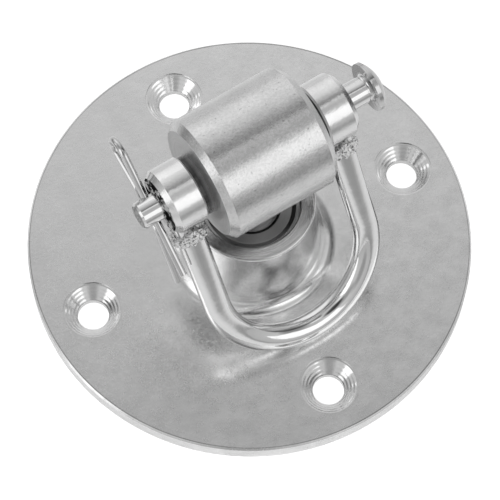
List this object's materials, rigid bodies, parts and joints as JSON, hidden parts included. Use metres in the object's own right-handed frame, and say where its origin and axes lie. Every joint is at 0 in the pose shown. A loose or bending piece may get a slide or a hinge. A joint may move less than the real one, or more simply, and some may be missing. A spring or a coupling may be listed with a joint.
{
  "type": "swivel ceiling hook",
  "caption": "Round screw plate with a ball bearing boss, a swivelling cross barrel and a swinging welded bail held by a clevis pin and hairpin clip.",
  "frame": {"origin": "centre of the round plate's flat back face", "axes": "+Z out of the back face through the boss, along the swivel axis; +X along the clevis pin towards its domed head; the bail leans towards -Y"},
  "size_m": [0.1, 0.1, 0.0637],
  "materials": {
    "turned_steel": "fine concentric turning marks, satin",
    "barrel_steel": "satin, lightly tumbled",
    "eye_steel": "satin, turned end faces",
    "rod_steel": "polished",
    "weld_metal": "rough weld bead, lightly blasted",
    "pin_steel": "polished",
    "clip_steel": "bright drawn wire",
    "stud_steel": "plain machined",
    "bearing_steel": "ground",
    "shield_steel": "dark pressed sheet",
    "bush_plastic": "black moulded"
  },
  "bodies": {
    "base": {"base_plate": "turned_steel", "bearing_outer_ring": "bearing_steel", "bearing_top_shield": "shield_steel", "bearing_bottom_shield": "shield_steel"},
    "ball_cage": {"bearing_cage": "shield_steel", "bearing_balls": "bearing_steel"},
    "head": {"bearing_inner_ring": "bearing_steel", "swivel_stud": "stud_steel", "washer": "stud_steel", "lock_nut": "stud_steel", "barrel": "barrel_steel", "left_bush": "bush_plastic", "right_bush": "bush_plastic"},
    "bail": {"bail_rod": "rod_steel", "left_eye": "eye_steel", "right_eye": "eye_steel", "left_weld": "weld_metal", "right_weld": "weld_metal"},
    "pin": {"clevis_pin": "pin_steel", "r_clip": "clip_steel"}
  },
  "joints": [
    {"name": "swivel", "type": "hinge", "parent": "base", "child": "head", "pos_m": [0, 0, 0.0194], "axis": [0, 0, 1], "continuous": true},
    {"name": "cage_spin", "type": "hinge", "parent": "base", "child": "ball_cage", "pos_m": [0, 0, 0.0194], "axis": [0, 0, 1], "continuous": true},
    {"name": "bail_swing", "type": "hinge", "parent": "head", "child": "bail", "pos_m": [0, 0, 0.05], "axis": [-1, 0, 0], "range_deg": [0, 297]},
    {"name": "pin_slide", "type": "slide", "parent": "bail", "child": "pin", "axis": [1, 0, 0], "range_m": [-0.0053, 0.0009]}
  ],
  "couplings": [
    {"joint": "cage_spin", "follows": "swivel", "ratio": 0.37}
  ]
}
